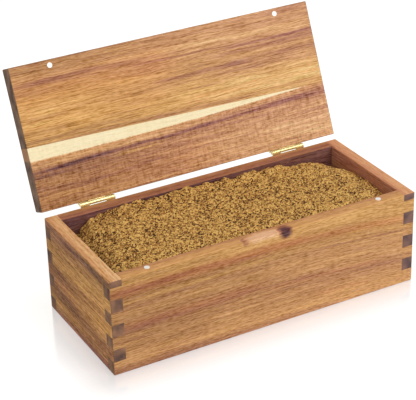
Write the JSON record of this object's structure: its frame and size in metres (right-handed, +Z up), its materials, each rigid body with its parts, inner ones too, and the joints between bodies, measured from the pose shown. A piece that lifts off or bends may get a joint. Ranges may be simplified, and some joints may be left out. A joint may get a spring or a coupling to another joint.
{
  "type": "spice box",
  "caption": "Long wooden box for ground spice, with finger-jointed corners and a flat lid that swings back on brass hinges and is held shut by small magnets.",
  "frame": {"origin": "centre of the underside of the box, which stands on z = 0", "axes": "+X along the length of the box, to the right; +Y to the back, where the hinges are; +Z up"},
  "size_m": [0.251, 0.1636, 0.1753],
  "materials": {
    "front_acacia": "oiled acacia, golden with reddish-brown bands",
    "back_acacia": "oiled acacia, reddish brown",
    "end_acacia": "oiled acacia, olive gold with dark streaks",
    "bottom_acacia": "oiled acacia, plain brown",
    "lid_front_acacia": "oiled acacia, tan with purple-brown bands",
    "lid_rear_acacia": "oiled acacia, brown with a cream band of sapwood",
    "hinge_brass": "bright polished brass",
    "screw_brass": "bright brass screws",
    "magnet_plating": "nickel plating",
    "spice_grains": "coarse golden-brown ground spice"
  },
  "bodies": {
    "box": {"front_board": "front_acacia", "back_board": "back_acacia", "left_board": "end_acacia", "right_board": "end_acacia", "bottom_panel": "bottom_acacia", "left_hinge_box_leaf": "hinge_brass", "left_hinge_pin": "hinge_brass", "left_hinge_box_screws": "screw_brass", "left_rim_magnet": "magnet_plating", "right_hinge_box_leaf": "hinge_brass", "right_hinge_pin": "hinge_brass", "right_hinge_box_screws": "screw_brass", "right_rim_magnet": "magnet_plating"},
    "lid": {"lid_front_board": "lid_front_acacia", "lid_rear_board": "lid_rear_acacia", "left_hinge_lid_leaf": "hinge_brass", "left_hinge_lid_screws": "screw_brass", "left_lid_magnet": "magnet_plating", "right_hinge_lid_leaf": "hinge_brass", "right_hinge_lid_screws": "screw_brass", "right_lid_magnet": "magnet_plating"}
  },
  "joints": [
    {"name": "lid_hinge", "type": "hinge", "parent": "box", "child": "lid", "pos_m": [0, 0.0553, 0.07635], "axis": [-1, 0, 0], "range_deg": [-113.7, 0]}
  ]
}
